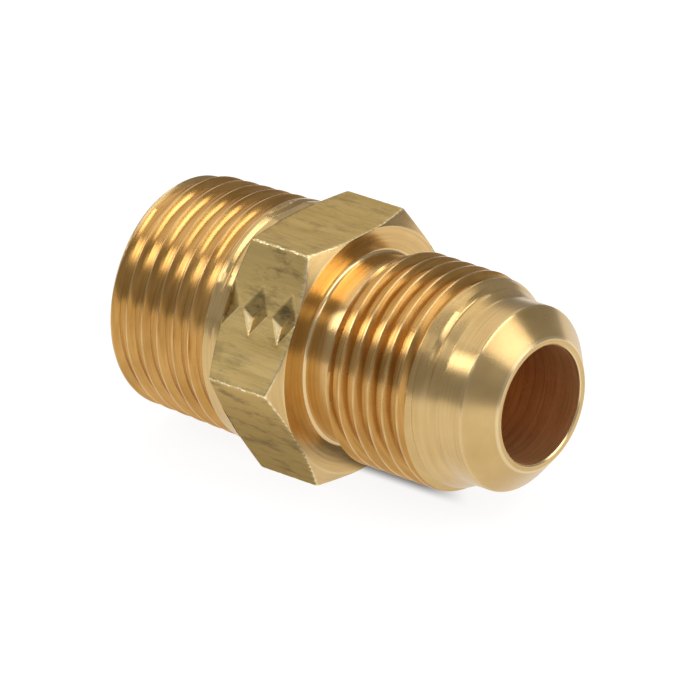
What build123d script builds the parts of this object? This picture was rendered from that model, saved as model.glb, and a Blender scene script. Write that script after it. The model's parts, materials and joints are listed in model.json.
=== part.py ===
from build123d import *
import os
from math import ceil, cos, pi, radians, sin, tan

os.makedirs("parts", exist_ok=True)

# Brass flare fitting: a 45 degree flare nose and thread, a wrench hexagon and a tapered pipe thread.
# The axis of the fitting is X: the flare nose points to +X and the pipe end to -X.
# Two flats of the hexagon lie level, facing +Z and -Z. Sizes are in millimetres.
# Thread angles are counted from +Z round toward -Y.

inch = 25.4
thread_flank_angle = 30.0

# Lengths along the axis
flare_end_length = 19.05
hex_width = 7.7
pipe_end_length = 13.45
overall_length = flare_end_length + hex_width + pipe_end_length

# Hexagon for a 7/8 inch wrench
across_flats = 21.8
bar_corner_radius = 0.3
hex_half_corner_angle = 30.0
hex_face_diameter = 1.01 * across_flats
hex_nose_chamfer_angle = 30.0
hex_pipe_chamfer_angle = 20.0
chamfer_over = 1.0

# Bore, open from end to end
bore_diameter = 10.4
bore_edge_break = 0.12
pipe_bore_chamfer = 0.5

# Flare thread, 3/4 inch with 16 threads to the inch
flare_major = 19.0
flare_pitch = inch / 16
flare_crest = flare_pitch / 8
flare_root = flare_pitch / 6
flare_lift = 0.12
flare_start_angle = 180.0
flare_start_from_face = 1.25

# Flare nose: rim, 45 degree seat, plain land, then the chamfer up to the thread
rim_width = 0.75
seat_angle = 45.0
land_gap = 0.33
land_length = 2.6
thread_chamfer_angle = 27.0
seat_edge_radius = 0.25

# Neck behind the flare thread, just below the bottom of the thread
neck_gap = 0.05
neck_length = 2.6
neck_chamfer_angle = 50.0

# Pipe thread, 1/2 inch with 14 threads to the inch, tapered 1 in 16 on diameter
pipe_pitch = inch / 14
pipe_half_taper = 1 / 32
pipe_small_end = 20.66
pipe_crest = 0.14
pipe_root = 0.2
pipe_lift = 0.04
pipe_end_chamfer = 0.95
pipe_chamfer_angle = 36.0
pipe_end_angle = 90.0
pipe_run_out_turns = 1.0
run_out_curve = 1.5

# Plain collar between the pipe thread and the hexagon
collar_diameter = 0.99 * across_flats
collar_length = 1.6
collar_corner_angle = 40.0
run_out_clearance = 0.06

# Dents left by a gripping jaw across one flat
dent_count = 3
dent_pitch = 3.2
dent_width = 2.7
dent_height = 4.3
dent_depth = 0.42
dent_rise = 0.4
dent_shift = -0.6
dent_flat_angle = 60.0
dent_over = 0.2
dent_tip = 0.06

points_per_half_turn = 8
thread_clear_of_end = 0.9

# Sizes that follow from the ones above
flank_slope = tan(radians(thread_flank_angle))


def groove_depth(pitch, crest, root):
    """Depth of a thread from its narrow flat crest to the bottom of its rounded root."""
    return (pitch - crest - root) / 2 / flank_slope + root * flank_slope / 2


flare_depth = groove_depth(flare_pitch, flare_crest, flare_root)
pipe_depth = groove_depth(pipe_pitch, pipe_crest, pipe_root)

nose_x = overall_length / 2
hex_nose_x = nose_x - flare_end_length
hex_pipe_x = hex_nose_x - hex_width
pipe_x = -overall_length / 2

flare_radius = flare_major / 2
flare_root_radius = flare_radius - flare_depth
rim_radius = bore_diameter / 2 + rim_width
land_radius = flare_root_radius - land_gap
neck_radius = flare_root_radius - neck_gap
seat_x = nose_x - (land_radius - rim_radius) / tan(radians(seat_angle))
land_x = seat_x - land_length
thread_start_x = land_x - (flare_radius - land_radius) / tan(radians(thread_chamfer_angle))
neck_x = hex_nose_x + neck_length
thread_end_x = neck_x + (flare_radius - neck_radius) / tan(radians(neck_chamfer_angle))

pipe_chamfer_x = pipe_x + pipe_end_chamfer
pipe_chamfer_radius = pipe_small_end / 2 + pipe_end_chamfer * pipe_half_taper
pipe_face_radius = pipe_chamfer_radius - pipe_end_chamfer * tan(radians(pipe_chamfer_angle))
collar_radius = collar_diameter / 2
collar_x = hex_pipe_x - collar_length
pipe_large_radius = pipe_small_end / 2 + (collar_x - pipe_x) * pipe_half_taper
collar_foot_x = collar_x - (collar_radius - pipe_large_radius) / tan(radians(collar_corner_angle))

hex_corner_radius = across_flats / 2 / cos(radians(hex_half_corner_angle))
hex_face_radius = hex_face_diameter / 2
chamfer_reach = hex_corner_radius + chamfer_over
nose_chamfer_drop = (chamfer_reach - hex_face_radius) * tan(radians(hex_nose_chamfer_angle))
pipe_chamfer_drop = (chamfer_reach - hex_face_radius) * tan(radians(hex_pipe_chamfer_angle))


def on_axial_plane(x, angle):
    """Plane through the axis: its own x runs along the axis, its own y points outward."""
    turn = radians(angle)
    return Plane(origin=(x, 0, 0), x_dir=(1, 0, 0), z_dir=(0, -cos(turn), -sin(turn)))


def groove_section(x, angle, foot_radius, pitch, crest, root, lift):
    """Cross-section of a thread groove with a rounded bottom."""
    half_top = (pitch - crest) / 2 + lift * flank_slope
    flank_foot = foot_radius + root * flank_slope / 2
    flank_top = foot_radius + groove_depth(pitch, crest, root) + lift
    with BuildSketch(on_axial_plane(x, angle), mode=Mode.PRIVATE) as section:
        with BuildLine():
            Polyline(
                (-root / 2, flank_foot),
                (-half_top, flank_top),
                (half_top, flank_top),
                (root / 2, flank_foot),
            )
            ThreePointArc((root / 2, flank_foot), (0, foot_radius), (-root / 2, flank_foot))
        make_face()
    return section.sketch


def groove_path(x, angle, pitch, turns, radius_at):
    """Helical path in half-turn pieces, with its distance from the axis given all along it."""
    points = []
    half_turns = round(turns * 2)
    for step in range(half_turns * points_per_half_turn + 1):
        turned = step / points_per_half_turn / 2
        along = x + turned * pitch
        turn = radians(angle) + turned * 2 * pi
        radius = radius_at(along)
        points.append((along, -radius * sin(turn), radius * cos(turn)))
    whole = Spline(*points, mode=Mode.PRIVATE)
    return Wire([whole.trim(piece / half_turns, (piece + 1) / half_turns) for piece in range(half_turns)])


def half_turns_up(length, pitch):
    """Turns needed to cover a length, rounded up to a whole number of half turns."""
    return ceil(2 * length / pitch) / 2


# Flare thread groove: it starts in the neck and runs off over the land
flare_start_x = hex_nose_x + flare_start_from_face
flare_turns = half_turns_up(land_x + flare_pitch - flare_start_x, flare_pitch)
flare_path = groove_path(
    flare_start_x, flare_start_angle, flare_pitch, flare_turns, lambda along: flare_root_radius
)
flare_groove = groove_section(
    flare_start_x, flare_start_angle, flare_root_radius, flare_pitch, flare_crest, flare_root, flare_lift
)

# Pipe thread groove: it starts beyond the pipe end and fades out at the collar
pipe_end_x = collar_x + pipe_pitch / 2
pipe_fade_x = pipe_end_x - pipe_run_out_turns * pipe_pitch
pipe_turns = half_turns_up(pipe_end_x - (pipe_x - thread_clear_of_end * pipe_pitch), pipe_pitch)
pipe_start_x = pipe_end_x - pipe_turns * pipe_pitch
pipe_start_angle = pipe_end_angle - pipe_turns * 360


def pipe_foot_radius(along):
    """Distance of the groove bottom from the axis: on the taper, then climbing clear of the collar."""
    on_taper = pipe_small_end / 2 + (along - pipe_x) * pipe_half_taper - pipe_depth
    faded = max(0, (along - pipe_fade_x) / (pipe_end_x - pipe_fade_x))
    climb = collar_radius + run_out_clearance - on_taper
    return on_taper + climb * faded**run_out_curve


pipe_path = groove_path(pipe_start_x, pipe_start_angle, pipe_pitch, pipe_turns, pipe_foot_radius)
pipe_start_foot = pipe_foot_radius(pipe_start_x)
pipe_groove = groove_section(
    pipe_start_x, pipe_start_angle, pipe_start_foot, pipe_pitch, pipe_crest, pipe_root, pipe_lift
)

with BuildPart() as fitting_body:
    # Hexagon bar
    with BuildSketch(Plane.YZ.offset(hex_pipe_x)):
        RegularPolygon(radius=across_flats / 2, side_count=6, major_radius=False)
        fillet(vertices(), bar_corner_radius)
    extrude(amount=hex_width)

    # Row of dents along one flat, each a shallow four-sided point
    flat_turn = radians(dent_flat_angle)
    outward = (0, -sin(flat_turn), cos(flat_turn))
    hex_middle_x = (hex_nose_x + hex_pipe_x) / 2
    for number in range(dent_count):
        dent_x = hex_middle_x + dent_shift + (number - (dent_count - 1) / 2) * dent_pitch
        flat_plane = Plane(
            origin=(dent_x, outward[1] * across_flats / 2, outward[2] * across_flats / 2),
            x_dir=(1, 0, 0),
            z_dir=outward,
        )
        for height, scale in ((dent_over * dent_depth, 1 + dent_over), (-dent_depth, dent_tip)):
            half_width = dent_width / 2 * scale
            half_height = dent_height / 2 * scale
            with BuildSketch(flat_plane.offset(height)):
                with Locations((0, dent_rise)):
                    Polygon((half_width, 0), (0, half_height), (-half_width, 0), (0, -half_height))
        loft(mode=Mode.SUBTRACT)

    # Both ends of the hexagon are turned off to a cone
    with BuildSketch(Plane.XZ):
        with BuildLine():
            Polyline(
                (hex_nose_x, 0),
                (hex_nose_x, hex_face_radius),
                (hex_nose_x - nose_chamfer_drop, chamfer_reach),
                (hex_pipe_x + pipe_chamfer_drop, chamfer_reach),
                (hex_pipe_x, hex_face_radius),
                (hex_pipe_x, 0),
                close=True,
            )
        make_face()
    revolve(axis=Axis.X, mode=Mode.INTERSECT)

    # Turned shape, from the rim of the nose to the pipe end
    with BuildSketch(Plane.XZ):
        with BuildLine():
            Polyline(
                (nose_x, 0),
                (nose_x, rim_radius),
                (seat_x, land_radius),
                (land_x, land_radius),
                (thread_start_x, flare_radius),
                (thread_end_x, flare_radius),
                (neck_x, neck_radius),
                (hex_nose_x, neck_radius),
                (hex_pipe_x, neck_radius),
                (hex_pipe_x, collar_radius),
                (collar_x, collar_radius),
                (collar_foot_x, pipe_large_radius),
                (pipe_chamfer_x, pipe_chamfer_radius),
                (pipe_x, pipe_face_radius),
                (pipe_x, 0),
                close=True,
            )
        turned = make_face()
        fillet(turned.vertices().sort_by_distance((seat_x, land_radius))[0], seat_edge_radius)
    revolve(axis=Axis.X)

    # Threads
    sweep(flare_groove, path=flare_path, is_frenet=True, mode=Mode.SUBTRACT)
    sweep(pipe_groove, path=pipe_path, is_frenet=True, mode=Mode.SUBTRACT)

    # Bore, with its edge broken at the nose and chamfered at the pipe end
    with BuildSketch(Plane.XZ):
        with BuildLine():
            bore_radius = bore_diameter / 2
            Polyline(
                (nose_x, 0),
                (nose_x, bore_radius + bore_edge_break),
                (nose_x - bore_edge_break, bore_radius),
                (pipe_x + pipe_bore_chamfer, bore_radius),
                (pipe_x, bore_radius + pipe_bore_chamfer),
                (pipe_x, 0),
                close=True,
            )
        make_face()
    revolve(axis=Axis.X, mode=Mode.SUBTRACT)

fitting_body.part.label = "fitting_body"
export_step(fitting_body.part, "parts/fitting_body.step")
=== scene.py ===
import json
import math

import bmesh
import bpy
import numpy as np
from mathutils import Matrix, Vector


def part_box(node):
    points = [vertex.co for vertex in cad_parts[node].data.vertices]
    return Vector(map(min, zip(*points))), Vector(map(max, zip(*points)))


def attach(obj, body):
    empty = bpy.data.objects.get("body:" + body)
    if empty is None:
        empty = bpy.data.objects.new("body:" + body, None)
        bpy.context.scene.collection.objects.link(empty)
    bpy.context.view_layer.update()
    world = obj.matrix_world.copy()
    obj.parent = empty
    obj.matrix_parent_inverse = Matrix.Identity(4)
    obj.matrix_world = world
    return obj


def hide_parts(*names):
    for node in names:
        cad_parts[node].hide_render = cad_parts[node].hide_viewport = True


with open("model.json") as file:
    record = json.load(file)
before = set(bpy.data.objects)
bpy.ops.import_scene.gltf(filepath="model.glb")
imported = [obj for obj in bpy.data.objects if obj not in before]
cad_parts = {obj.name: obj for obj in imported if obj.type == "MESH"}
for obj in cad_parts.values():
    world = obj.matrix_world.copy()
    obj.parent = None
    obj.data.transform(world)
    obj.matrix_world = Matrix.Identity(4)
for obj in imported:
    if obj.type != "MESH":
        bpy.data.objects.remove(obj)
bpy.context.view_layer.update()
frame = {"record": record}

bodyLow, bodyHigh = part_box("fitting_body")
mounts = {mount["name"]: mount for mount in frame["record"]["mounts"]}

mm = 0.001
inch = 25.4 * mm
flankSlope = math.tan(math.radians(30))  # every thread flank leans 30 degrees

noseX = bodyHigh[0]   # the axis is X, the flare nose looks to +X
pipeX = bodyLow[0]
acrossFlats = bodyHigh[2] - bodyLow[2]
boreRadius = mounts["through_bore"]["dims"]["r_mm"] * mm
landRadius = mounts["flare_land"]["dims"]["r_mm"] * mm

layout = {   # lengths along the axis
    "flareEnd": 19.05 * mm,
    "hexagon": 7.7 * mm,
    "land": 2.6 * mm,
    "neck": 2.6 * mm,
    "collar": 1.6 * mm,
    "tuck": 0.5 * mm,   # how far each length's closing wall slants into its neighbour
}

hexNoseX = noseX - layout["flareEnd"]
hexPipeX = hexNoseX - layout["hexagon"]
hexMiddleX = (hexNoseX + hexPipeX) / 2
neckX = hexNoseX + layout["neck"]
collarX = hexPipeX - layout["collar"]
collarRadius = acrossFlats * 0.495
neckRadius = 8.4 * mm
print("frame loaded, fitting is", round((noseX - pipeX) / mm, 2), "mm long")


def newMaterial(name):
    material = bpy.data.materials.new(name)
    material.use_nodes = True
    nodes = material.node_tree.nodes
    nodes.clear()
    output = nodes.new("ShaderNodeOutputMaterial")
    shader = nodes.new("ShaderNodeBsdfPrincipled")
    material.node_tree.links.new(shader.outputs["BSDF"], output.inputs["Surface"])
    return material, shader


def addNode(material, kind, **values):
    node = material.node_tree.nodes.new(kind)
    for name, value in values.items():
        setattr(node, name, value)
    return node


def link(material, fromSocket, toSocket):
    material.node_tree.links.new(fromSocket, toSocket)


def stretchedNoise(material, stretch, scale, detail=4, rough=0.6):
    place = addNode(material, "ShaderNodeTexCoord")
    mapping = addNode(material, "ShaderNodeMapping")
    mapping.inputs["Scale"].default_value = stretch
    noise = addNode(material, "ShaderNodeTexNoise")
    noise.inputs["Scale"].default_value = scale
    noise.inputs["Detail"].default_value = detail
    noise.inputs["Roughness"].default_value = rough
    link(material, place.outputs["Object"], mapping.inputs["Vector"])
    link(material, mapping.outputs["Vector"], noise.inputs["Vector"])
    return noise.outputs["Fac"]


def mathNode(material, operation, *values):
    node = addNode(material, "ShaderNodeMath", operation=operation)
    for place, value in enumerate(values):
        if isinstance(value, (int, float)):
            node.inputs[place].default_value = value
        else:
            link(material, value, node.inputs[place])
    return node.outputs[0]


def ringNoise(material, scale, detail=3):
    # noise that changes quickly along the axis and hardly at all round it, as turning marks do
    roundAxis = 0.03
    place = addNode(material, "ShaderNodeTexCoord")
    split = addNode(material, "ShaderNodeSeparateXYZ")
    link(material, place.outputs["Object"], split.inputs["Vector"])
    sides = {axis: split.outputs[axis] for axis in ("Y", "Z")}
    squares = [mathNode(material, "MULTIPLY", side, side) for side in sides.values()]
    radius = mathNode(material, "SQRT", mathNode(material, "ADD", *squares))
    join = addNode(material, "ShaderNodeCombineXYZ")
    link(material, mathNode(material, "ADD", split.outputs["X"], radius), join.inputs["X"])
    for axis, side in sides.items():
        link(material, mathNode(material, "MULTIPLY", side, roundAxis), join.inputs[axis])
    noise = addNode(material, "ShaderNodeTexNoise")
    noise.inputs["Scale"].default_value = scale
    noise.inputs["Detail"].default_value = detail
    link(material, join.outputs["Vector"], noise.inputs["Vector"])
    return noise.outputs["Fac"]


def colourRamp(material, factor, stops):
    ramp = addNode(material, "ShaderNodeValToRGB")
    elements = ramp.color_ramp.elements
    while len(elements) < len(stops):
        elements.new(0.5)
    for element, (place, colour) in zip(elements, stops):
        element.position = place
        element.color = (*colour, 1)
    link(material, factor, ramp.inputs["Fac"])
    return ramp.outputs["Color"]


def valueRange(material, factor, low, high, fromLow=0.3, fromHigh=0.7):
    # spreads a noise, which mostly lies between fromLow and fromHigh, over low to high
    spread = addNode(material, "ShaderNodeMapRange")
    spread.inputs["From Min"].default_value = fromLow
    spread.inputs["From Max"].default_value = fromHigh
    spread.inputs["To Min"].default_value = low
    spread.inputs["To Max"].default_value = high
    link(material, factor, spread.inputs["Value"])
    return spread.outputs["Result"]


def mixColour(material, factor, first, second, blend="MIX"):
    mix = addNode(material, "ShaderNodeMix", data_type="RGBA", blend_type=blend)
    for entry, value in (("Factor", factor), ("A", first), ("B", second)):
        socket = mix.inputs[entry]
        if isinstance(value, (int, float)):
            socket.default_value = value
        elif isinstance(value, tuple):
            socket.default_value = (*value, 1)
        else:
            link(material, value, socket)
    return mix.outputs["Result"]


def bumpFrom(material, height, distance):
    bump = addNode(material, "ShaderNodeBump")
    bump.inputs["Strength"].default_value = 1
    bump.inputs["Distance"].default_value = distance
    link(material, height, bump.inputs["Height"])
    return bump.outputs["Normal"]


turnedFinish = {    # neck, hexagon faces and the plain turned parts
    "light": (0.69, 0.475, 0.21),
    "deep": (0.63, 0.41, 0.165),
    "streak": (0.88, 0.86, 0.83),    # tint of the darker turning marks
    "worn": (0.93, 0.76, 0.46),
    "roughLow": 0.16,
    "roughHigh": 0.26,
    "anisotropic": 0.55,
    "cloudScale": 160,
    "markScale": 4200,
    "markDepth": 0.008 * mm,
}

threadFinish = {    # the two threads
    "light": (0.60, 0.345, 0.11),
    "deep": (0.51, 0.275, 0.075),
    "streak": (0.80, 0.76, 0.70),
    "worn": (0.93, 0.76, 0.46),
    "roughLow": 0.2,
    "roughHigh": 0.3,
    "anisotropic": 0.5,
    "cloudScale": 160,
    "markScale": 5600,
    "markDepth": 0.012 * mm,
}

satinFinish = {    # nose, collar and chamfers, a little smoother and paler
    "light": (0.65, 0.455, 0.205),
    "deep": (0.58, 0.39, 0.16),
    "streak": (0.90, 0.89, 0.87),
    "worn": (0.93, 0.78, 0.50),
    "roughLow": 0.23,
    "roughHigh": 0.32,
    "anisotropic": 0.65,
    "cloudScale": 160,
    "markScale": 5200,
    "markDepth": 0.003 * mm,
}


def makeTurnedBrass(name, finish):
    material, shader = newMaterial(name)
    cloud = stretchedNoise(material, (1, 1, 1), finish["cloudScale"])
    rings = ringNoise(material, finish["markScale"])
    colour = colourRamp(material, cloud, [(0.35, finish["deep"]), (0.65, finish["light"])])
    streak = colourRamp(material, rings, [(0.36, finish["streak"]), (0.6, (1, 1, 1))])
    colour = mixColour(material, 1, colour, streak, "MULTIPLY")
    worn = addNode(material, "ShaderNodeAttribute", attribute_name="worn")
    colour = mixColour(material, worn.outputs["Fac"], colour, finish["worn"])
    link(material, colour, shader.inputs["Base Color"])
    shader.inputs["Metallic"].default_value = 1
    shader.inputs["Anisotropic"].default_value = finish["anisotropic"]
    shader.inputs["Anisotropic Rotation"].default_value = 0.25   # highlights spread along the axis
    rough = valueRange(material, cloud, finish["roughLow"], finish["roughHigh"])
    link(material, rough, shader.inputs["Roughness"])
    link(material, bumpFrom(material, rings, finish["markDepth"]), shader.inputs["Normal"])
    tangent = addNode(material, "ShaderNodeTangent", direction_type="RADIAL", axis="X")
    link(material, tangent.outputs["Tangent"], shader.inputs["Tangent"])
    return material


drawnFinish = {    # the six flats, still as the bar was drawn
    "light": (0.87, 0.635, 0.265),
    "dark": (0.74, 0.52, 0.19),
    # colour of the painted shade on the flats
    "shadeColour": (0.27, 0.185, 0.065),
    # dark stain patches, laid only where there is painted shade
    "stain": (0.15, 0.105, 0.045),
    "worn": (0.97, 0.86, 0.58),
    "roughLow": 0.34,
    "roughHigh": 0.48,
    "roughWorn": 0.2,
    "glancing": (1.0, 0.84, 0.62),   # tint of the flats seen at a slant
    "lineStretch": (0.04, 1, 1),
    "lineScale": 4200,
    "lineDepth": 0.005 * mm,
    "lineTint": (0.68, 0.66, 0.62),
    "lineStrength": 0.6,
    "broadStretch": (0.12, 1, 1),
    "broadScale": 420,
    "stainStretch": (0.35, 1, 1),
    "stainScale": 760,
}


def makeDrawnBrass():
    material, shader = newMaterial("drawnBrass")
    lines = stretchedNoise(material, drawnFinish["lineStretch"], drawnFinish["lineScale"], 5, 0.75)
    broad = stretchedNoise(material, drawnFinish["broadStretch"], drawnFinish["broadScale"], 3)
    stains = stretchedNoise(material, drawnFinish["stainStretch"], drawnFinish["stainScale"], 8, 0.75)
    colour = colourRamp(material, broad, [(0.3, drawnFinish["dark"]), (0.6, drawnFinish["light"])])
    streak = colourRamp(material, lines, [(0.32, drawnFinish["lineTint"]), (0.58, (1, 1, 1))])
    colour = mixColour(material, drawnFinish["lineStrength"], colour, streak, "MULTIPLY")
    # painted shade: the flats are mixed toward a dark colour by the mark set per angle and on the dent
    # facets
    paintedShade = addNode(material, "ShaderNodeAttribute", attribute_name="stain")
    colour = mixColour(material, paintedShade.outputs["Fac"], colour, drawnFinish["shadeColour"])
    # stain patches, only where the painted shade lies
    patches = valueRange(material, stains, 0, 1.3, 0.50, 0.66)
    patches = mathNode(material, "MULTIPLY", patches, paintedShade.outputs["Fac"])
    colour = mixColour(material, patches, colour, drawnFinish["stain"])
    # wear colour, which also paints the highlight on the dents' steep facets
    worn = addNode(material, "ShaderNodeAttribute", attribute_name="worn")
    colour = mixColour(material, worn.outputs["Fac"], colour, drawnFinish["worn"])
    link(material, colour, shader.inputs["Base Color"])
    shader.inputs["Metallic"].default_value = 1
    shader.inputs["Specular Tint"].default_value = (*drawnFinish["glancing"], 1)
    rough = valueRange(material, lines, drawnFinish["roughLow"], drawnFinish["roughHigh"])
    rubbed = addNode(material, "ShaderNodeMix", data_type="FLOAT")
    link(material, worn.outputs["Fac"], rubbed.inputs["Factor"])
    link(material, rough, rubbed.inputs["A"])
    rubbed.inputs["B"].default_value = drawnFinish["roughWorn"]
    link(material, rubbed.outputs["Result"], shader.inputs["Roughness"])
    link(material, bumpFrom(material, lines, drawnFinish["lineDepth"]), shader.inputs["Normal"])
    return material


boreFinish = {    # inside the bore
    "light": (0.90, 0.60, 0.32),
    "dark": (0.72, 0.44, 0.21),
    "rough": 0.46,
    "markScale": 4600,
    "markDepth": 0.004 * mm,
}


def makeBoredBrass():
    material, shader = newMaterial("boredBrass")
    rings = ringNoise(material, boreFinish["markScale"], 4)
    colour = colourRamp(material, rings, [(0.35, boreFinish["dark"]), (0.65, boreFinish["light"])])
    link(material, colour, shader.inputs["Base Color"])
    shader.inputs["Metallic"].default_value = 1
    shader.inputs["Roughness"].default_value = boreFinish["rough"]
    link(material, bumpFrom(material, rings, boreFinish["markDepth"]), shader.inputs["Normal"])
    return material


turnedBrass = makeTurnedBrass("turnedBrass", turnedFinish)
threadBrass = makeTurnedBrass("threadBrass", threadFinish)
satinBrass = makeTurnedBrass("satinBrass", satinFinish)
drawnBrass = makeDrawnBrass()
boredBrass = makeBoredBrass()
finishes = [turnedBrass, drawnBrass, boredBrass, threadBrass, satinBrass]
turned, drawn, bored, threaded, satin = range(len(finishes))   # a band's finish is its place in that list
print("materials made")


sweep = {
    "steps": 384,          # round the nose and the pipe end
    "weld": 0.0002 * mm,
    "sharpAngle": 28,
}


# A ring is one closed line round the axis: its x and its radius at every angle, its wear and painted
# highlight, its painted shade and stains, and the finish of the band between it and the next ring.
# Angles run from +Z round toward -Y.
def ring(x, radius, angles, worn=0.0, finish=turned, stain=0.0):
    count = len(angles)
    return {
        "x": np.broadcast_to(np.asarray(x, float), (count,)).copy(),
        "radius": np.broadcast_to(np.asarray(radius, float), (count,)).copy(),
        "worn": np.broadcast_to(np.asarray(worn, float), (count,)).copy(),
        "stain": np.broadcast_to(np.asarray(stain, float), (count,)).copy(),
        "finish": finish,
    }


def bandOf(first, last, count, angles, finish=turned, worn=0.0):
    # rings from one (x, radius) to just before the next, evenly spaced
    steps = np.arange(count) / count
    rings = []
    for step in steps:
        x = first[0] + (last[0] - first[0]) * step
        radius = first[1] + (last[1] - first[1]) * step
        rings.append(ring(x, radius, angles, worn, finish))
    return rings


def makeSwept(name, rings, angles, finishes, push=None):
    # joins the rings, the last one back to the first, and welds the seam
    rings = rings + [rings[0]]
    x = np.array([r["x"] for r in rings])
    radius = np.array([r["radius"] for r in rings])
    marks = {mark: np.array([r[mark] for r in rings]) for mark in ("worn", "stain")}
    turn = np.radians(angles)
    places = np.stack([x, -radius * np.sin(turn), radius * np.cos(turn)], axis=-1)
    if push is not None:
        places = push(places, x, marks)
    rows, columns = x.shape
    index = np.arange(rows * columns).reshape(rows, columns)
    a, b = index[:-1, :-1], index[:-1, 1:]
    c, d = index[1:, 1:], index[1:, :-1]
    faces = np.stack([a, b, c, d], axis=-1).reshape(-1, 4)
    mesh = bpy.data.meshes.new(name)
    mesh.from_pydata(places.reshape(-1, 3).tolist(), [], faces.tolist())
    for material in finishes:
        mesh.materials.append(material)
    chosen = np.repeat([r["finish"] for r in rings[:-1]], columns - 1)
    mesh.polygons.foreach_set("material_index", chosen.astype(np.int32))
    for mark, values in marks.items():
        layer = mesh.attributes.new(mark, "FLOAT", "POINT")
        layer.data.foreach_set("value", values.reshape(-1).astype(np.float32))
    work = bmesh.new()
    work.from_mesh(mesh)
    bmesh.ops.remove_doubles(work, verts=work.verts, dist=sweep["weld"])
    bmesh.ops.dissolve_degenerate(work, edges=work.edges, dist=sweep["weld"])
    bmesh.ops.recalc_face_normals(work, faces=work.faces)
    for face in work.faces:
        face.smooth = True
    for edge in work.edges:
        edge.smooth = edge.calc_face_angle(0) < math.radians(sweep["sharpAngle"])
    work.to_mesh(mesh)
    openEdges = sum(1 for edge in work.edges if len(edge.link_faces) != 2)
    work.free()
    piece = bpy.data.objects.new(name, mesh)
    bpy.context.scene.collection.objects.link(piece)
    print(name, "has", len(mesh.polygons), "faces and", openEdges, "open edges")
    return piece


def finishPiece(piece):
    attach(piece, "root")
    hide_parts("fitting_body")


def softLower(first, second, blend):
    # the smaller of two heights, with the corner between them rounded
    gap = np.clip((first - second) / blend, -40, 40)
    return first - blend * np.log1p(np.exp(gap))


def grooveFoot(spec, centreX):
    if "taper" not in spec:
        return np.full_like(centreX, spec["rootRadius"])
    onTaper = spec["rootRadius"] + (centreX - pipeX) * spec["taper"]
    faded = np.clip((centreX - spec["fadeX"]) / (spec["endX"] - spec["fadeX"]), 0, 1)
    return onTaper + (spec["clearRadius"] - onTaper) * faded ** 1.5


def threadRadius(spec, x, angle, plain):
    # radius of the surface where the thread groove may have cut into the plain turned shape
    pitch = spec["pitch"]
    along = x - spec["grooveX"] - pitch * angle / 360
    offset = (along + pitch / 2) % pitch - pitch / 2
    distance = np.abs(offset)
    half = spec["rootFlat"] / 2
    sag = half * flankSlope
    bottom = np.where(distance < half, sag * (distance / half) ** 2, sag + (distance - half) / flankSlope)
    groove = grooveFoot(spec, x - offset) + bottom
    return softLower(plain, groove, spec["crestRound"])


def threadRings(spec, first, last, angles, finish):
    # rings that follow the helix between two ends of a straight stretch of the plain shape; they run from
    # first to last, each an (x, radius), and pile up on the two ends where the helix leaves the stretch
    pitch = spec["pitch"]
    low, high = min(first[0], last[0]), max(first[0], last[0])
    half = spec["rootFlat"] / 2 / pitch
    top = 0.5 - spec["crestFlat"] / 2 / pitch
    flank = top - half
    phases = [half * 0.55, half, half + flank * 0.35, half + flank * 0.7]
    phases += [top - 0.035, top - 0.012, top + 0.012]
    phases = sorted([0, 0.5] + phases + [-phase for phase in phases])
    firstTurn = math.floor((low - spec["grooveX"]) / pitch) - 2
    lastTurn = math.ceil((high - spec["grooveX"]) / pitch) + 1
    turns = range(firstTurn, lastTurn + 1)
    starts = [spec["grooveX"] + (turn + phase) * pitch for turn in turns for phase in phases]
    rings = []
    for start in starts:
        x = np.clip(start + pitch * angles / 360, low, high)
        if x.max() <= low or x.min() >= high:
            continue
        rings.append(threadRing(spec, x, first, last, angles, finish))
    rings = [threadRing(spec, np.full_like(angles, low), first, last, angles, finish)] + rings
    rings.append(threadRing(spec, np.full_like(angles, high), first, last, angles, finish))
    if first[0] > last[0]:
        rings.reverse()
    return rings[:-1]


def threadRing(spec, x, first, last, angles, finish):
    share = (x - first[0]) / (last[0] - first[0])
    plain = first[1] + (last[1] - first[1]) * share
    radius = threadRadius(spec, x, angles, plain)
    # nicks: the crests are rubbed more in some places than in others
    nick = 0.5 + 0.5 * np.sin(angles * 0.35 + x / mm * 2.1) * np.sin(angles * 0.13 + x / mm * 5.3)
    cut = np.clip((plain - radius) / (spec["crestRound"] * 3), 0, 1)
    worn = (1 - cut) * (0.4 + 0.6 * nick) * spec["crestWorn"] * (finish == threaded)
    return ring(x, radius, angles, worn, finish)


flareThread = {
    "pitch": inch / 16,
    "major": 19.0 * mm,
    "noseChamfer": 27,
    "neckChamfer": 50,
    "rootRadius": 8.45 * mm,
    "rootFlat": inch / 16 / 6,
    "crestFlat": inch / 16 / 8,
    "crestRound": 0.016 * mm,
    "crestWorn": 0.3,
    "startFromFace": 1.25 * mm,   # first groove, at 180 degrees, ahead of the hexagon's face
}
flareThread["grooveX"] = hexNoseX + flareThread["startFromFace"] - flareThread["pitch"] / 2

pipeThread = {
    "pitch": inch / 14,
    "smallEnd": 20.66 * mm,
    "taper": 1 / 32,
    "rootFlat": 0.2 * mm,
    "crestFlat": 0.14 * mm,
    "crestRound": 0.014 * mm,
    "crestWorn": 0.3,
    "runOutTurns": 1.0,
}
flankWidth = (pipeThread["pitch"] - pipeThread["crestFlat"] - pipeThread["rootFlat"]) / 2
pipeThread["depth"] = flankWidth / flankSlope + pipeThread["rootFlat"] * flankSlope / 2
pipeThread["rootRadius"] = pipeThread["smallEnd"] / 2 - pipeThread["depth"]
pipeThread["endX"] = collarX + pipeThread["pitch"] / 2
pipeThread["fadeX"] = pipeThread["endX"] - pipeThread["runOutTurns"] * pipeThread["pitch"]
pipeThread["clearRadius"] = collarRadius + 0.06 * mm
pipeThread["grooveX"] = pipeThread["endX"] - pipeThread["pitch"] / 4   # it ends at 90 degrees


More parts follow.
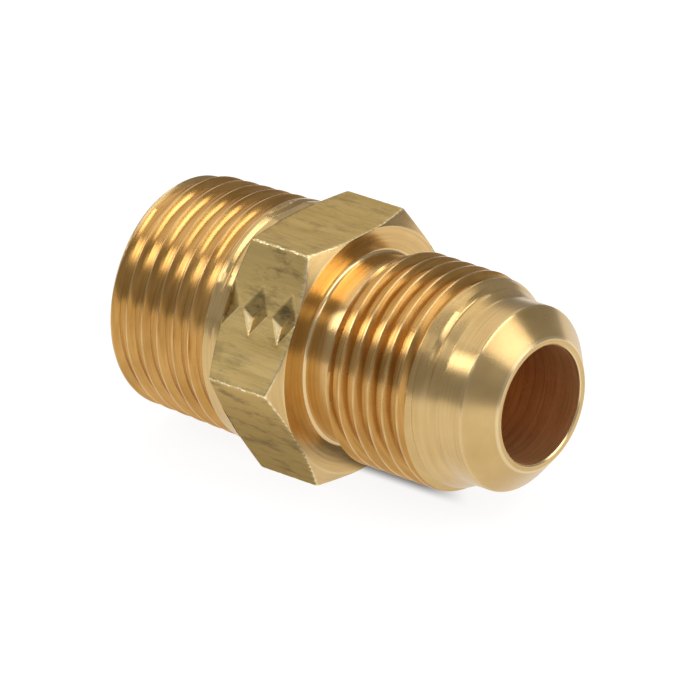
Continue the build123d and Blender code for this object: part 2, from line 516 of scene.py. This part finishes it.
noseShape = {
    "rimWidth": 0.75 * mm,
    "rimRound": 0.2 * mm,
    "boreEdge": 0.12 * mm,
    "seatRound": 0.25 * mm,    # the edge between seat and land
    "neckFillet": 0.35 * mm,
}
rimRadius = boreRadius + noseShape["rimWidth"]
seatX = noseX - (landRadius - rimRadius)    # the seat is a 45 degree cone
landX = seatX - layout["land"]


def makeNose():
    angles = np.linspace(0, 360, sweep["steps"] + 1)
    majorRadius = flareThread["major"] / 2
    startX = landX - (majorRadius - landRadius) / math.tan(math.radians(flareThread["noseChamfer"]))
    endX = neckX + (majorRadius - neckRadius) / math.tan(math.radians(flareThread["neckChamfer"]))
    edge = noseShape["rimRound"]
    innerEdge = (noseX, boreRadius + noseShape["boreEdge"])
    outerEdge = (noseX - edge, rimRadius + edge * 0.2)
    edgeRadius = noseShape["seatRound"]
    seatRound = edgeRadius * math.tan(math.radians(22.5))
    seatIn = (seatX + seatRound / math.sqrt(2), landRadius - seatRound / math.sqrt(2))
    seatOut = (seatX - seatRound, landRadius)
    fillet = noseShape["neckFillet"]
    rings = []
    rings += bandOf((hexNoseX, boreRadius), (noseX - noseShape["boreEdge"], boreRadius), 40, angles, bored)
    rings += bandOf((noseX - noseShape["boreEdge"], boreRadius), innerEdge, 2, angles, satin, 0.5)
    rings += bandOf(innerEdge, (noseX, rimRadius - edge), 5, angles, satin)
    rings += bandOf((noseX, rimRadius - edge), outerEdge, 2, angles, satin, 0.4)
    rings += bandOf(outerEdge, seatIn, 16, angles, satin)
    for step in range(6):   # the rounded edge between seat and land
        turn = math.radians(45) * (1 - step / 6)
        x = seatOut[0] + edgeRadius * math.sin(turn)
        radius = landRadius - edgeRadius * (1 - math.cos(turn))
        rings.append(ring(x, radius, angles, 0.15, satin))
    rings += bandOf(seatOut, (landX, landRadius), 12, angles, satin)
    rings += threadRings(flareThread, (landX, landRadius), (startX, majorRadius), angles, satin)
    rings += threadRings(flareThread, (startX, majorRadius), (endX, majorRadius), angles, threaded)
    rings += threadRings(flareThread, (endX, majorRadius), (neckX, neckRadius), angles, threaded)
    rings += bandOf((neckX, neckRadius), (hexNoseX + fillet, neckRadius), 10, angles)
    for step in range(6):   # small fillet in the corner against the hexagon
        turn = math.radians(90) * step / 6
        x = hexNoseX + fillet * (1 - math.sin(turn))
        radius = neckRadius + fillet * (1 - math.cos(turn))
        rings.append(ring(x, radius, angles, 0.3))
    tuckIn = (hexNoseX - layout["tuck"], neckRadius)
    rings += bandOf((hexNoseX, neckRadius + fillet), tuckIn, 2, angles)
    rings += bandOf(tuckIn, (hexNoseX, boreRadius), 4, angles)
    piece = makeSwept("fittingNose", rings, angles, finishes)
    finishPiece(piece)


hexShape = {
    "faceRadius": acrossFlats * 0.505,   # round end faces, a little wider than the flats
    "noseChamfer": 30,
    "pipeChamfer": 20,
    "barCorner": 0.3 * mm,
    "edgeRound": 0.04 * mm,
    "shrink": 0.012,
    "low": 0.2 * mm,
}

dents = {
    "count": 3,
    "pitch": 3.2 * mm,
    "width": 2.7 * mm,
    "height": 4.3 * mm,
    "depth": 0.42 * mm,
    "rise": 0.4 * mm,
    "shift": -0.6 * mm,
    "flatAngle": 60,
    "steepSide": 2.4,
    "lip": 0.02 * mm,
    # how dark the painted shade on each dent's shallow facets is
    "facetShade": 0.8,
    "edge": 0.06,        # how soft the dent's outline is, as a share of its half width
    "lipWidth": 0.05,
}


def hexAngles():
    # fine steps across the dented flat and round the six corners, coarser elsewhere
    coarse = np.arange(0, 360, 0.9)
    fine = np.arange(dents["flatAngle"] - 20, dents["flatAngle"] + 20, 0.32)
    closeBy = (-1.1, -0.85, -0.68, -0.45, -0.22, 0, 0.22, 0.45, 0.68, 0.85, 1.1)
    corners = [corner + away for corner in range(30, 360, 60) for away in closeBy]
    coarse = coarse[np.abs(coarse - dents["flatAngle"]) > 20]
    return np.unique(np.round(np.concatenate([coarse, fine, corners, [0, 360]]), 3))


def hexRadius(angles):
    flat = acrossFlats / 2
    corner = hexShape["barCorner"]
    fromFlat = np.abs((angles + 30) % 60 - 30)
    fromCorner = np.radians(30 - fromFlat)
    centre = (flat - corner) / math.cos(math.radians(30))
    bend = math.radians(30) - math.atan(math.tan(math.radians(30)) * (flat - corner) / flat)
    plain = flat / np.cos(np.radians(fromFlat))
    inner = np.clip(corner ** 2 - (centre * np.sin(fromCorner)) ** 2, 0, None)
    return np.where(fromCorner < bend, centre * np.cos(fromCorner) + np.sqrt(inner), plain)


def pushDents(places, x, marks):
    # presses the four-sided dents square into their flat, with a slight raised lip round each;
    # paints a highlight on each dent's steep facet and shade on its other facets
    turn = math.radians(dents["flatAngle"])
    outward = np.array([0, -math.sin(turn), math.cos(turn)])
    upward = np.array([0, math.cos(turn), math.sin(turn)])
    height = places @ outward
    rise = places @ upward - dents["rise"]
    onFlat = (height > acrossFlats / 2 - 0.02 * mm) & (x < hexNoseX) & (x > hexPipeX)
    depth = np.zeros_like(x)
    pressedPart = np.zeros_like(x)
    shadedFacets = np.zeros_like(x)
    for number in range(dents["count"]):
        centreX = hexMiddleX + dents["shift"] + (number - (dents["count"] - 1) / 2) * dents["pitch"]
        along = (x - centreX) / (dents["width"] / 2)
        up = rise / (dents["height"] / 2)
        inside = 1 - np.abs(along) - np.abs(up)
        steep = dents["steepSide"] * (1 + along + up)     # the lower side toward the pipe end is steeper
        sides = np.minimum.reduce([steep, 1 - along - up, 1 - along + up, 1 + along - up])
        pressed = np.clip(np.where(inside > 0, sides, 0), 0, 1) * dents["depth"]
        lip = np.exp(-((inside + dents["edge"]) / dents["lipWidth"]) ** 2) * dents["lip"]
        depth += pressed - lip
        within = np.clip(inside / dents["edge"], 0, 1)
        pressedPart += within
        shadedFacets += within * np.clip((steep - sides) / 0.15, 0, 1)    # painted shade on all but the steep facet, which stays bright
    pressedPart = np.clip(pressedPart, 0, 1) * onFlat
    shadedFacets = np.clip(shadedFacets, 0, 1) * onFlat
    # painted highlight on each dent's steep facet; painted shade on its other facets, in place of the
    # flat's own painted shade
    marks["worn"] = np.maximum(marks["worn"], 0.4 * pressedPart * (1 - shadedFacets))
    marks["stain"] = marks["stain"] * (1 - pressedPart) + dents["facetShade"] * shadedFacets
    return places - (depth * onFlat)[..., None] * outward


def makeHexagon():
    angles = hexAngles()
    outer = hexRadius(angles)
    face = np.minimum(outer, hexShape["faceRadius"])     # the flats trim the round end faces a little
    noseDrop = (outer - face) * math.tan(math.radians(hexShape["noseChamfer"]))
    pipeDrop = (outer - face) * math.tan(math.radians(hexShape["pipeChamfer"]))
    noseEdgeX = hexNoseX - noseDrop
    pipeEdgeX = hexPipeX + pipeDrop
    # painted shade on the flats, set by angle
    stain = flatShadeAt(angles)
    rings = []
    rings += bandOf((hexPipeX, boreRadius), (hexNoseX, boreRadius), 12, angles, bored)
    rings += bandOf((hexNoseX, boreRadius), (hexNoseX, face), 34, angles)
    rings.append(ring(hexNoseX, face, angles, 0.3, satin))    # rubbed bright where the face meets the cone
    rings += bandOf((hexNoseX, face), (noseEdgeX, outer), 6, angles, satin)[1:]
    rows = 72
    roundEdge = hexShape["edgeRound"]
    for step in range(rows + 1):
        share = step / rows
        x = noseEdgeX + (pipeEdgeX - noseEdgeX) * share
        fromEdge = np.minimum(noseEdgeX - x, x - pipeEdgeX)
        eased = outer - roundEdge * np.exp(-fromEdge / roundEdge / 1.5)
        rubbed = burr(angles, x, noseEdgeX)
        rings.append(ring(x, eased, angles, rubbed, drawn if step < rows else turned, stain))
    rings += bandOf((pipeEdgeX, outer), (hexPipeX, face), 5, angles)[1:]
    rings += bandOf((hexPipeX, face), (hexPipeX, boreRadius), 10, angles)
    piece = makeSwept("fittingHexagon", rings, angles, finishes, settleHexagon)
    finishPiece(piece)


flatPaintedShade = {    # how much painted shade lies on the drawn bar at each angle; the flats turned down are painted darkest
    0: 0.35, 28: 0.4, 32: 0.7, 60: 0.35, 88: 0.2, 92: 0.7, 120: 0.95, 149: 1.0,
    151: 0.6, 210: 0.5, 270: 0.3, 328: 0.3, 332: 0.35, 360: 0.35,
}


def flatShadeAt(angles):
    return np.interp(angles, list(flatPaintedShade), list(flatPaintedShade.values()))


burrSize = {
    "edgeThin": 0.02 * mm,
    "edgeExtra": 0.11 * mm,
    "cornerThin": 0.18,     # in degrees round the axis
    "cornerExtra": 0.42,
}


def burr(angles, x, noseEdgeX):
    # bright rubbed metal, broken up, along the nose side edge of each flat and on the long corners
    fromCorner = 30 - np.abs((angles + 30) % 60 - 30)
    around = raggedLine(angles * 1.9)
    lengthwise = raggedLine(x / mm * 3.3 + np.round(angles / 60) * 17)
    edgeWidth = burrSize["edgeThin"] + burrSize["edgeExtra"] * around
    edge = np.exp(-np.maximum(noseEdgeX - x, 0) / edgeWidth) * (0.2 + 0.8 * around)
    cornerWidth = burrSize["cornerThin"] + burrSize["cornerExtra"] * lengthwise
    corner = np.exp(-(fromCorner / cornerWidth) ** 2) * (0.1 + 0.9 * lengthwise ** 2)
    return np.clip(edge + corner, 0, 1)


def raggedLine(place):
    # a wave with no simple repeat, between 0 and 1
    wave = np.sin(place) + np.sin(place * 2.37 + 1.3) * 0.8 + np.sin(place * 5.11 + 0.4) * 0.6
    return np.clip(0.5 + wave * 0.35, 0, 1)


def settleHexagon(places, x, marks):
    # the bar sat slightly off the turning axis, so the six flats lie a little low
    across = np.hypot(places[..., 1], places[..., 2])
    share = (across - neckRadius) / (hexShape["faceRadius"] - neckRadius)
    share = np.clip(share, 0, 1)
    places = pushDents(places, x, marks)
    moved = places.copy()
    moved[..., 1:] *= (1 - hexShape["shrink"] * share)[..., None]
    moved[..., 2] -= hexShape["low"] * share
    return moved


pipeShape = {
    "boreChamfer": 0.5 * mm,
    "endChamfer": 0.95 * mm,
    "chamferAngle": 36,
    "threadFoot": 40,    # slope where the thread climbs to the collar
    "tuckDepth": 1.2 * mm,
}


def collarLine(angles):
    # the collar's radius; the flats trim it where the bar lies closest to the axis
    flatAngle = np.round(angles / 60) * 60
    lowered = hexShape["low"] * np.cos(np.radians(flatAngle))
    flatHeight = acrossFlats / 2 * (1 - hexShape["shrink"]) - lowered
    return np.minimum(collarRadius, flatHeight / np.cos(np.radians(angles - flatAngle)))


def makePipeEnd():
    angles = np.linspace(0, 360, sweep["steps"] + 1)
    collar = collarLine(angles)
    taper = pipeThread["taper"]
    chamfer = pipeShape["endChamfer"]
    smallRadius = pipeThread["smallEnd"] / 2
    chamferX = pipeX + chamfer
    chamferRadius = smallRadius + chamfer * taper
    endRadius = chamferRadius - chamfer * math.tan(math.radians(pipeShape["chamferAngle"]))
    largeRadius = smallRadius + (collarX - pipeX) * taper
    footX = collarX - (collarRadius - largeRadius) / math.tan(math.radians(pipeShape["threadFoot"]))
    rings = []
    tuckIn = (hexPipeX + layout["tuck"], collarRadius - pipeShape["tuckDepth"])
    rings += bandOf((hexPipeX, boreRadius), tuckIn, 4, angles)
    rings += bandOf(tuckIn, (hexPipeX, collar), 4, angles)
    rings += threadRings(pipeThread, (hexPipeX, collar), (collarX, collar), angles, satin)
    rings += threadRings(pipeThread, (collarX, collar), (footX, largeRadius), angles, satin)
    rings += threadRings(pipeThread, (footX, largeRadius), (chamferX, chamferRadius), angles, threaded)
    rings += threadRings(pipeThread, (chamferX, chamferRadius), (pipeX, endRadius), angles, satin)
    mouth = boreRadius + pipeShape["boreChamfer"]
    endPlane = np.full_like(angles, pipeX)
    endLine = np.full_like(angles, endRadius)
    innerFace = threadRadius(pipeThread, endPlane, angles, endLine)    # notched where the groove runs out
    rings += bandOf((pipeX, innerFace), (pipeX, mouth), 8, angles)
    boreStart = (pipeX + pipeShape["boreChamfer"], boreRadius)
    rings += bandOf((pipeX, mouth), boreStart, 4, angles)
    rings += bandOf(boreStart, (hexPipeX, boreRadius), 30, angles, bored)
    piece = makeSwept("fittingPipeEnd", rings, angles, finishes)
    finishPiece(piece)


makeNose()
makeHexagon()
makePipeEnd()
print("fitting made")


studio = {
    "floorSize": 3.0,
    "floorGap": 0.02 * mm,
    "floorColour": (0.15, 0.15, 0.15),
    "floorGlow": 0.9,        # the floor is a light table, so the fitting throws hardly any shadow
    "paintedShadow": 0.85,           # how much darker the painted shadow on the floor under and behind the fitting is
    "paintedShadowAcross": ((-2.2, -0.4), (20, 9)),     # where the painted shadow fades in and out, in mm
    "paintedShadowAlong": ((-20, -12), (12, 6)),
    "paintedShadowSlant": 0.9,
    "worldColour": (0.36, 0.36, 0.37),
}

softBoxes = {    # each panel's place, its size and how bright it is
    "overhead": ((-0.38, 0.22, 0.95), (1.35, 1.35), 0.82),
    "leftStrip": ((-0.62, -0.50, 0.63), (0.42, 0.25), 4.1),
    "rightPanel": ((0.57, 0.19, 0.79), (0.85, 0.32), 4.4),
    "lowRight": ((0.85, 0.28, 0.42), (0.50, 0.20), 2.3),
    "overCamera": ((0.62, -0.55, 0.62), (0.26, 0.12), 2.0),
    "frontPanel": ((0.00, -0.56, 0.83), (0.36, 0.32), 2.6),
}


def floorGlow(material):
    # the floor's glow, cut down by a painted shadow under and behind the fitting
    place = addNode(material, "ShaderNodeTexCoord")
    split = addNode(material, "ShaderNodeSeparateXYZ")
    link(material, place.outputs["Object"], split.inputs["Vector"])
    across = split.outputs["Y"]
    along = mathNode(material, "MULTIPLY_ADD", across, studio["paintedShadowSlant"], split.outputs["X"])
    fades = [(across, fade) for fade in studio["paintedShadowAcross"]]
    fades += [(along, fade) for fade in studio["paintedShadowAlong"]]
    paintedShadow = 1
    for source, (start, end) in fades:
        step = addNode(material, "ShaderNodeMapRange", interpolation_type="SMOOTHSTEP")
        step.inputs["From Min"].default_value = start * mm
        step.inputs["From Max"].default_value = end * mm
        link(material, source, step.inputs["Value"])
        paintedShadow = mathNode(material, "MULTIPLY", paintedShadow, step.outputs["Result"])
    glow = studio["floorGlow"]
    return mathNode(material, "MULTIPLY_ADD", paintedShadow, -glow * studio["paintedShadow"], glow)


def makeFloor():
    height = bodyLow[2] - studio["floorGap"]
    bpy.ops.mesh.primitive_plane_add(size=studio["floorSize"], location=(0, 0, height))
    floor = bpy.context.object
    floor.name = "studioFloor"
    material, shader = newMaterial("paleFloor")
    shader.inputs["Base Color"].default_value = (*studio["floorColour"], 1)
    shader.inputs["Roughness"].default_value = 0.9
    shader.inputs["Emission Color"].default_value = (1, 1, 1, 1)
    link(material, floorGlow(material), shader.inputs["Emission Strength"])
    floor.data.materials.append(material)


def makeWorld():
    world = bpy.data.worlds.new("studioWorld")
    world.use_nodes = True
    background = world.node_tree.nodes["Background"]
    background.inputs["Color"].default_value = (*studio["worldColour"], 1)
    background.inputs["Strength"].default_value = 1
    bpy.context.scene.world = world


def softBox(name, place, size, brightness):
    # an evenly bright panel facing the fitting
    light = bpy.data.lights.new(name, "AREA")
    light.shape = "RECTANGLE"
    light.size, light.size_y = size
    light.energy = brightness * math.pi * size[0] * size[1]
    lamp = bpy.data.objects.new(name, light)
    lamp.location = place
    lamp.rotation_euler = (-Vector(place)).to_track_quat("-Z", "Y").to_euler()
    bpy.context.scene.collection.objects.link(lamp)


view = {
    "place": Vector((361.07, -409.60, 253.55)) * mm,
    "back": Vector((0.6005, -0.6793, 0.4218)),    # from the fitting toward the camera
    "right": Vector((0.7588, 0.6505, -0.0327)),
    "lens": 363.6,
    "nearest": 0.01,
}


def makeCamera():
    cameraData = bpy.data.cameras.new("camera")
    cameraData.lens = view["lens"]
    cameraData.sensor_width = 36
    cameraData.clip_start = view["nearest"]
    camera = bpy.data.objects.new("camera", cameraData)
    back = view["back"].normalized()
    right = view["right"].normalized()
    turn = Matrix((right, back.cross(right), back)).transposed().to_4x4()
    camera.matrix_world = Matrix.Translation(view["place"]) @ turn
    bpy.context.scene.collection.objects.link(camera)
    bpy.context.scene.camera = camera


makeFloor()
makeWorld()
for name, (place, size, brightness) in softBoxes.items():
    softBox(name, place, size, brightness)
makeCamera()
bpy.context.scene.view_settings.view_transform = "Standard"
print("studio made")
